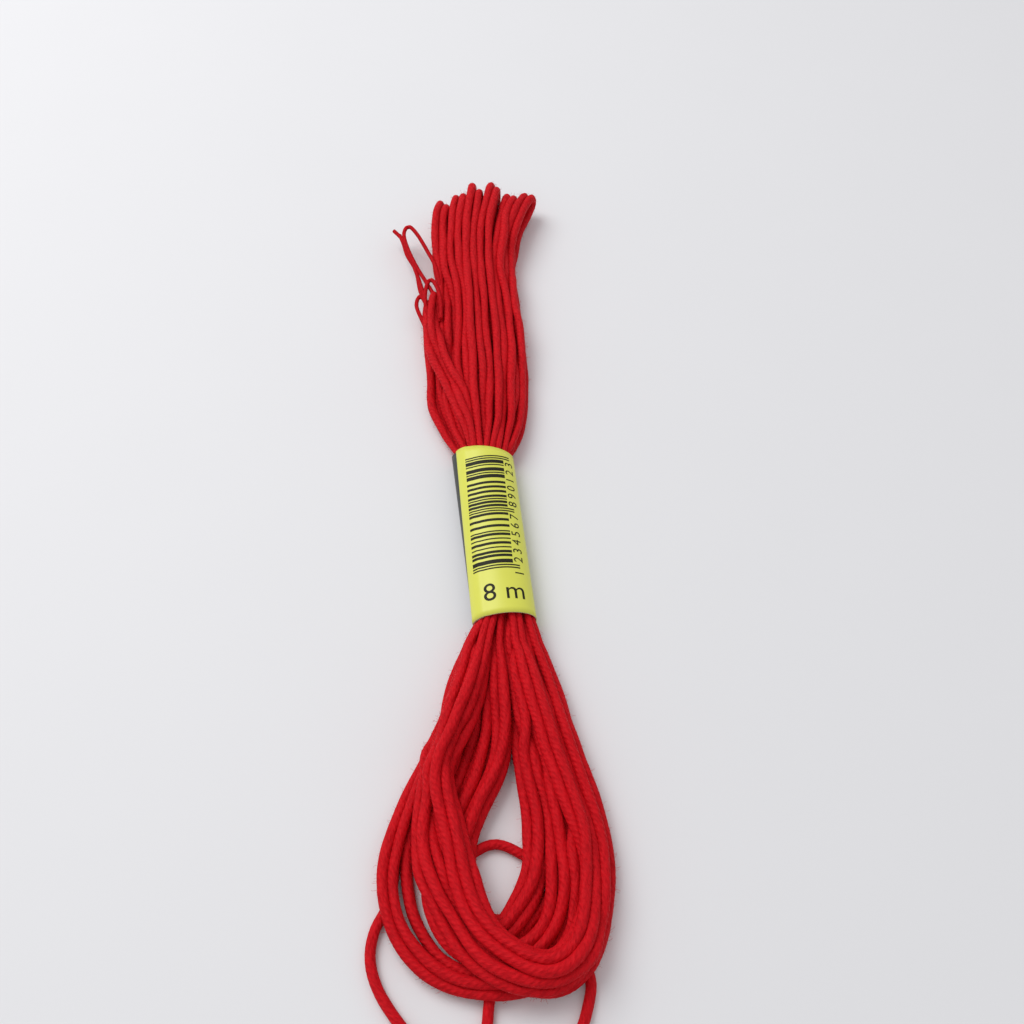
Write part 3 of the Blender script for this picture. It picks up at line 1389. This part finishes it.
# The lap's cut edge slants, by EDGE_LEAN_DEG either way at the mouths. The strip's far edge is cut out of
# square: EDGE_SKEW shorter on the right than in the middle, and as much longer on the left.
EDGE_LEAN_DEG = 6.0
EDGE_SKEW = 1.1

# The lap climbs onto the first layer over LAP_RAMP_DEG, and then stands off by LAP_STAND times its thickness.
LAP_RAMP_DEG = 14.0
LAP_STAND = 1.3

# The first layer bulges from under the lap between these angles from the strip's start, by BULGE at most.
BULGE = 0.85
BULGE_START_DEG = 28.0
BULGE_END_DEG = 92.0


def strip_angle(share, y):
    """Angle of the strip at a share of its length; the cut edge leans a little."""
    lean = EDGE_LEAN_DEG * (-y / BAND_HALF_LENGTH)
    start = STRIP_START_DEG
    return math.radians(start + (STRIP_END_DEG + lean * share - start) * share)


def lap_lift(turned_deg, thickness):
    """How far the strip stands off the waist at an angle from its start: the lap lies on the first layer."""
    ramp = min(max((turned_deg - 360.0 + LAP_RAMP_DEG) / LAP_RAMP_DEG, 0.0), 1.0)
    return ramp * ramp * (3.0 - 2.0 * ramp) * thickness * LAP_STAND


def loose_layer(turned_deg, y):
    """How far the first layer bulges from under the lap's cut edge: nothing at the near mouth."""
    share = (turned_deg - BULGE_START_DEG) / (BULGE_END_DEG - BULGE_START_DEG)
    if share <= 0.0 or share >= 1.0:
        return 0.0
    return BULGE * far_share(y) * math.sin(math.pi * share) ** 2


def wrap_strip(thickness):
    """The paper strip as one closed body."""
    bm = bmesh.new()
    uv = bm.loops.layers.uv.new("paper")
    outer, inner = [], []
    for i in range(STRIP_STEPS + 1):
        share = i / STRIP_STEPS
        outer_row, inner_row = [], []
        for j in range(BAND_STEPS + 1):
            y = BAND_HALF_LENGTH * (2.0 * j / BAND_STEPS - 1.0)
            angle = strip_angle(share, y)
            turned_deg = math.degrees(angle) - STRIP_START_DEG
            lift = lap_lift(turned_deg, thickness) + loose_layer(turned_deg, y)
            y -= EDGE_SKEW * math.cos(angle) * max(2.0 * far_share(y) - 1.0, 0.0)
            outer_row.append(bm.verts.new(place(oval_point(angle, y + BAND_SHIFT, -lift))))
            inner_row.append(bm.verts.new(place(oval_point(angle, y + BAND_SHIFT, thickness - lift))))
        outer.append(outer_row)
        inner.append(inner_row)

    def add_face(verts, corners, material_index):
        face = bm.faces.new(verts)
        face.material_index = material_index
        face.smooth = material_index == 0
        for loop, (i, j) in zip(face.loops, corners):
            loop[uv].uv = (i / STRIP_STEPS, j / BAND_STEPS)

    for i in range(STRIP_STEPS):
        for j in range(BAND_STEPS):
            corners = ((i, j), (i, j + 1), (i + 1, j + 1), (i + 1, j))
            add_face([outer[a][b] for a, b in corners], corners, 0)
            add_face([inner[a][b] for a, b in reversed(corners)], corners[::-1], 1)
    for i in range(STRIP_STEPS):
        for j in (0, BAND_STEPS):
            corners = ((i, j), (i + 1, j))
            quad = [outer[i][j], outer[i + 1][j], inner[i + 1][j], inner[i][j]]
            add_face(quad, corners + corners[::-1], 1)
    for j in range(BAND_STEPS):
        for i in (0, STRIP_STEPS):
            corners = ((i, j), (i, j + 1))
            quad = [outer[i][j], outer[i][j + 1], inner[i][j + 1], inner[i][j]]
            add_face(quad, corners + corners[::-1], 1)
    bmesh.ops.recalc_face_normals(bm, faces=bm.faces)
    mesh = bpy.data.meshes.new("paper_strip")
    bm.to_mesh(mesh)
    bm.free()
    return mesh


def paper_material(settings):
    """Smooth printed paper: a yellow ground, and a dark panel on the part that lies underneath."""
    material, make, shader = principled("printed_paper")
    spot = make.node("ShaderNodeUVMap", uv_map="paper")
    axes = make.node("ShaderNodeSeparateXYZ", {0: spot.outputs[0]})
    panel_end = (YELLOW_START_DEG - STRIP_START_DEG) / (STRIP_END_DEG - STRIP_START_DEG)
    yellow = make.math("GREATER_THAN", axes.outputs[0], panel_end)
    in_space = place_in_metres(make)
    mottle = noise(make, in_space, scale=260.0, detail=3.0)
    duller = opaque(settings.paper_colour, 0.93)
    printed = mix_colour(make, mottle, duller, opaque(settings.paper_colour))
    colour = mix_colour(make, yellow, opaque(settings.under_colour), printed)
    fibre = noise(make, in_space, scale=2600.0, detail=4.0)
    rough = make.math("ADD", 0.34, make.math("MULTIPLY", mottle, 0.12))
    height = make.math("ADD", make.math("MULTIPLY", fibre, 0.12), mottle)
    bump = make.node("ShaderNodeBump", {"Height": height, "Distance": 0.00005, "Strength": 0.35})
    links = material.node_tree.links
    links.new(colour, shader.inputs["Base Color"])
    links.new(rough, shader.inputs["Roughness"])
    links.new(bump.outputs[0], shader.inputs["Normal"])
    shader.inputs["Specular IOR Level"].default_value = 0.5
    return material


def plain_paper_material():
    """The unprinted back and the cut edges of the paper."""
    material, make, shader = principled("bare_paper")
    fibre = noise(make, place_in_metres(make), scale=1800.0, detail=4.0)
    colour = mix_colour(make, fibre, (0.58, 0.58, 0.36, 1.0), (0.72, 0.72, 0.50, 1.0))
    bump = make.node("ShaderNodeBump", {"Height": fibre, "Distance": 0.00004, "Strength": 0.5})
    material.node_tree.links.new(colour, shader.inputs["Base Color"])
    material.node_tree.links.new(bump.outputs[0], shader.inputs["Normal"])
    shader.inputs["Roughness"].default_value = 0.8
    return material


def ink_material(settings):
    """Thin, slightly uneven ink."""
    material, make, shader = principled("ink")
    cover = noise(make, place_in_metres(make), scale=1500.0, detail=3.0)
    thin = opaque(settings.ink_colour, 1.6)
    colour = mix_colour(make, cover, opaque(settings.ink_colour), thin)
    material.node_tree.links.new(colour, shader.inputs["Base Color"])
    shader.inputs["Roughness"].default_value = 0.55
    shader.inputs["Specular IOR Level"].default_value = 0.18
    return material


class SKEIN_OT_wrap_band(bpy.types.Operator):
    """Wraps the paper strip round the waist."""

    bl_idname = "skein.wrap_band"
    bl_label = "Wrap the Band"

    def execute(self, context):
        settings = context.scene.skein_band
        thickness = settings.paper_thickness / MM
        mesh = wrap_strip(thickness)
        mesh.materials.append(paper_material(settings))
        mesh.materials.append(plain_paper_material())
        band = link_mesh("paper_strip", mesh)
        finish_piece(band, PAPER_SLOT, "paper_band")
        shared["band"] = band
        return {"FINISHED"}


# The bars, in millimetres: y along the band, and x round its outside from the top towards the right. They
# shift by BAR_SLANT from the first bar to the last, and the guard bars are longer by GUARD_EXTRA.
BAR_START_Y = 14.3
BAR_END_Y = -10.8
BAR_LEFT = -3.8
BAR_RIGHT = 3.35
BAR_SLANT = -0.9
GUARD_EXTRA = 1.3
BAR_CUTS = 14

# In modules from the first bar: the guard bars, the stretches of random bars between them, and the figures.
MODULES = 95
GUARD_BARS = (0, 2, 46, 48, 92, 94)
BAR_STRETCHES = ((4, 45), (50, 91))
FIGURES = "1234567890123"
FIRST_FIGURE = -3.6
FIGURE_STRETCHES = (4.0, 50.0)
FIGURES_IN_STRETCH = 6
FIGURE_MODULES = 7.0
FIGURE_MIDDLE = 0.45
FIGURE_GAP = 0.35
FIGURE_HEIGHT = 1.75

# The length mark.
MARK = "8 m"
MARK_X = 0.4
MARK_Y = -17.2
MARK_HEIGHT = 3.4

# The ink: its thickness, how far its middle lies above the paper as a share of that, and the width of the
# strips that it is cut into, from INK_LEFT to INK_RIGHT, so that it can bend. Corners that lie within
# MERGE_DISTANCE are joined. DIGIT_SHARE is a digit's height as a share of its font's size.
INK_DEPTH = 0.024
INK_LIFT = 0.3
INK_CUT = 0.25
INK_LEFT = BAR_LEFT - 1.0
INK_RIGHT = BAR_RIGHT + 3.0
MERGE_DISTANCE = 0.0005
DIGIT_SHARE = 0.70


def bend_onto_band(bm, lift, thickness):
    """Bends a flat print (x round the band from its top, y along it, z up) onto the band's outside."""
    angles, along = oval_angle_table()
    whole = along[-1]
    for vert in bm.verts:
        flat = vert.co
        angle = float(np.interp(flat.x % whole, along, angles))
        turned_deg = math.degrees(angle) % 360.0 + 360.0 - STRIP_START_DEG
        rise = flat.z + lift + (lap_lift(turned_deg, thickness) if flat.x < 0.0 else 0.0)
        vert.co = Vector(place(oval_point(angle, flat.y, -rise)))


def add_bar(bm, left, right, low, high):
    """One flat bar as a thin closed block, cut across so that it can bend."""
    top, bottom = [], []
    for i in range(BAR_CUTS + 1):
        x = left + (right - left) * i / BAR_CUTS
        top.append([bm.verts.new((x, y, INK_DEPTH / 2.0)) for y in (low, high)])
        bottom.append([bm.verts.new((x, y, -INK_DEPTH / 2.0)) for y in (low, high)])
    for i in range(BAR_CUTS):
        bm.faces.new((top[i][0], top[i + 1][0], top[i + 1][1], top[i][1]))
        bm.faces.new((bottom[i][1], bottom[i + 1][1], bottom[i + 1][0], bottom[i][0]))
        bm.faces.new((bottom[i][0], bottom[i + 1][0], top[i + 1][0], top[i][0]))
        bm.faces.new((bottom[i + 1][1], bottom[i][1], top[i][1], top[i + 1][1]))
    for i, order in ((0, 1), (BAR_CUTS, -1)):
        quad = [bottom[i][1], bottom[i][0], top[i][0], top[i][1]]
        bm.faces.new(quad[::order])


def bar_runs():
    """Start and width in modules of every bar, and whether it is a guard bar. The others are random."""
    runs = [(module, 1, True) for module in GUARD_BARS]
    rng = np.random.default_rng(SEED + 7)
    for start, end in BAR_STRETCHES:
        module = start
        while module < end:
            width = int(rng.choice((1, 1, 1, 2, 2, 3)))
            width = min(width, end - module)
            runs.append((module, width, False))
            module += width + int(rng.choice((1, 1, 2, 3)))
    return runs


def add_text(bm, words, height, turn, middle_x, middle_y):
    """Words as thin ink: turned by turn in the flat print, with their middle at this place."""
    curve = bpy.data.curves.new("words", "FONT")
    curve.body = words
    curve.align_x = "CENTER"
    curve.align_y = "CENTER"
    curve.size = height / DIGIT_SHARE
    curve.resolution_u = 4
    curve.extrude = INK_DEPTH / 2.0
    obj = bpy.data.objects.new("words", curve)
    bpy.context.scene.collection.objects.link(obj)
    bpy.context.view_layer.update()
    mesh = bpy.data.meshes.new_from_object(obj.evaluated_get(bpy.context.evaluated_depsgraph_get()))
    first = len(bm.verts)
    bm.from_mesh(mesh)
    bm.verts.ensure_lookup_table()
    cos, sin = math.cos(turn), math.sin(turn)
    for vert in bm.verts[first:]:
        x, y = vert.co.x, vert.co.y
        vert.co.x = x * cos - y * sin + middle_x
        vert.co.y = x * sin + y * cos + middle_y
    bpy.data.objects.remove(obj, do_unlink=True)


class SKEIN_OT_print_band(bpy.types.Operator):
    """Prints the bars, the plain figures beside them and the length mark on the band."""

    bl_idname = "skein.print_band"
    bl_label = "Print the Band"

    def execute(self, context):
        settings = context.scene.skein_band
        bm = bmesh.new()
        module = (BAR_START_Y - BAR_END_Y) / MODULES
        for start, width, is_guard in bar_runs():
            high = BAR_START_Y - start * module
            low = high - width * module
            slant = BAR_SLANT * start / MODULES
            extra = GUARD_EXTRA if is_guard else 0.0
            add_bar(bm, BAR_LEFT + slant, BAR_RIGHT + slant + extra, low, high)
        self.add_figures(bm, module)
        add_text(bm, MARK, MARK_HEIGHT, 0.0, MARK_X, MARK_Y + MARK_HEIGHT / 2.0)
        bmesh.ops.remove_doubles(bm, verts=bm.verts, dist=MERGE_DISTANCE)
        for cut in np.arange(INK_LEFT, INK_RIGHT, INK_CUT):
            geometry = bm.verts[:] + bm.edges[:] + bm.faces[:]
            bmesh.ops.bisect_plane(bm, geom=geometry, plane_co=(cut, 0.0, 0.0), plane_no=(1.0, 0.0, 0.0))
        bend_onto_band(bm, INK_DEPTH * INK_LIFT, settings.paper_thickness / MM)
        bmesh.ops.recalc_face_normals(bm, faces=bm.faces)
        mesh = bpy.data.meshes.new("band_print")
        bm.to_mesh(mesh)
        bm.free()
        mesh.materials.append(ink_material(settings))
        print_piece = link_mesh("band_print", mesh)
        finish_piece(print_piece, None)
        return {"FINISHED"}

    def add_figures(self, bm, module):
        """A column of plain figures, each standing across the band with its top to the left."""
        places = [FIRST_FIGURE]
        for start in FIGURE_STRETCHES:
            places += [start + FIGURE_MODULES * (i + FIGURE_MIDDLE) for i in range(FIGURES_IN_STRETCH)]
        for figure, spot in zip(FIGURES, places):
            y = BAR_END_Y + spot * module
            slant = BAR_SLANT * (1.0 - spot / MODULES)
            x = BAR_RIGHT + slant + FIGURE_GAP + FIGURE_HEIGHT / 2.0
            add_text(bm, figure, FIGURE_HEIGHT, math.pi / 2.0, x, y)


class SKEIN_OT_raise_fuzz(bpy.types.Operator):
    """Raises the loose fibres that stand off the cotton."""

    bl_idname = "skein.raise_fuzz"
    bl_label = "Raise Fuzz"

    def execute(self, context):
        settings = context.scene.skein_floss
        for name in ("loop_over", "loop_under", "fan_left", "fan_right"):
            source = bpy.data.objects[name]
            copy = link_mesh(name + "_fuzz_base", source.data.copy())
            values = {
                "Density": settings.hairs,
                "Hair Length": settings.hair_length,
                "Hair Radius": HAIR_RADIUS,
                "Band Y": WAIST_Y + BAND_SHIFT * MM,
                "Band Reach": (BAND_HALF_LENGTH + HAIR_BAND_GAP) * MM,
                "Material": floss_material(settings),
            }
            mesh = run_tree(copy, fuzz_tree(), values)
            bpy.data.objects.remove(copy, do_unlink=True)
            piece = link_mesh(name + "_fuzz", mesh)
            finish_piece(piece, FLOSS_SLOT)
        return {"FINISHED"}


def fuzz_tree():
    """Scatters short curved hairs on a surface off the band and the table, each leaning its own way."""
    if "fuzz_tree" in shared:
        return shared["fuzz_tree"]
    tree, make, given = new_geometry_tree(
        "fuzz",
        (
            ("Density", "NodeSocketFloat", 600000.0),
            ("Hair Length", "NodeSocketFloat", 0.0007),
            ("Hair Radius", "NodeSocketFloat", HAIR_RADIUS),
            ("Band Y", "NodeSocketFloat", 0.0),
            ("Band Reach", "NodeSocketFloat", 0.0),
            ("Material", "NodeSocketMaterial", None),
        ),
    )
    position = make.node("GeometryNodeInputPosition").outputs[0]
    axes = make.node("ShaderNodeSeparateXYZ", {0: position})
    from_band = make.math("ABSOLUTE", make.math("SUBTRACT", axes.outputs[1], given["Band Y"]))
    off_the_band = make.math("GREATER_THAN", from_band, given["Band Reach"])
    table_gap = make.math("MULTIPLY", given["Hair Length"], HAIR_TABLE_GAP)
    off_the_table = make.math("GREATER_THAN", axes.outputs[2], table_gap)
    in_the_open = make.math("MULTIPLY", off_the_band, off_the_table)
    scattered = make.node(
        "GeometryNodeDistributePointsOnFaces",
        {"Mesh": given["Geometry"], "Selection": in_the_open, "Density": given["Density"], "Seed": 5},
    )
    line = make.node(
        "GeometryNodeCurveQuadraticBezier",
        {"Resolution": 2, "Start": (0.0, 0.0, 0.0), "Middle": (0.0, 0.0, 0.55), "End": (0.45, 0.1, 0.8)},
    )
    ring = make.node("GeometryNodeCurvePrimitiveCircle", {"Resolution": 3, "Radius": 1.0})
    thin = make.math("DIVIDE", given["Hair Radius"], given["Hair Length"])
    hair = make.node(
        "GeometryNodeCurveToMesh",
        {"Curve": line.outputs[0], "Profile Curve": ring.outputs[0], "Scale": thin, "Fill Caps": True},
    ).outputs[0]
    lean = make.node(
        "FunctionNodeRandomValue",
        {"Min": (-1.1, -1.1, -3.14), "Max": (1.1, 1.1, 3.14), "Seed": 3},
        data_type="FLOAT_VECTOR",
    ).outputs[0]
    upright = scattered.outputs["Rotation"]
    turned = make.node("FunctionNodeRotateRotation", {0: upright, 1: lean}, rotation_space="LOCAL")
    spread = make.node(
        "FunctionNodeRandomValue", {2: 0.4, 3: 1.3, "Seed": 8}, data_type="FLOAT"
    ).outputs[1]
    scale = make.math("MULTIPLY", spread, given["Hair Length"])
    placed = make.node(
        "GeometryNodeInstanceOnPoints",
        {
            "Points": scattered.outputs["Points"],
            "Instance": hair,
            "Rotation": turned.outputs[0],
            "Scale": scale,
        },
    ).outputs[0]
    finish_geometry_tree(make, placed, given["Material"])
    shared["fuzz_tree"] = tree
    return tree


class SKEIN_PT_panel(bpy.types.Panel):
    """Lists the skein's settings and its steps."""

    bl_label = "Floss Skein"
    bl_idname = "SKEIN_PT_panel"
    bl_space_type = "VIEW_3D"
    bl_region_type = "UI"
    bl_category = "Skein"

    def draw(self, context):
        layout = self.layout
        for group in (context.scene.skein_stage, context.scene.skein_floss, context.scene.skein_band):
            box = layout.box()
            for label in group.__annotations__:
                box.prop(group, label)
        for operator in OPERATORS:
            layout.operator(operator.bl_idname)


SETTINGS = (StageSettings, FlossSettings, BandSettings)
OPERATORS = (
    SKEIN_OT_set_stage,
    SKEIN_OT_lay_loose_ends,
    SKEIN_OT_wind_floss,
    SKEIN_OT_split_plies,
    SKEIN_OT_raise_fuzz,
    SKEIN_OT_wrap_band,
    SKEIN_OT_print_band,
)
CLASSES = (*SETTINGS, *OPERATORS, SKEIN_PT_panel)


def register():
    """Adds the settings, the operators and the panel."""
    for cls in CLASSES:
        bpy.utils.register_class(cls)
    bpy.types.Scene.skein_stage = bpy.props.PointerProperty(type=StageSettings)
    bpy.types.Scene.skein_floss = bpy.props.PointerProperty(type=FlossSettings)
    bpy.types.Scene.skein_band = bpy.props.PointerProperty(type=BandSettings)


def unregister():
    """Takes them away again."""
    for name in ("skein_stage", "skein_floss", "skein_band"):
        delattr(bpy.types.Scene, name)
    for cls in reversed(CLASSES):
        bpy.utils.unregister_class(cls)


def main():
    """Makes the whole scene."""
    register()
    bpy.ops.skein.set_stage()
    bpy.ops.skein.lay_loose_ends()
    bpy.ops.skein.wind_floss()
    bpy.ops.skein.split_plies()
    bpy.ops.skein.raise_fuzz()
    bpy.ops.skein.wrap_band()
    bpy.ops.skein.print_band()


if __name__ == "__main__":
    main()
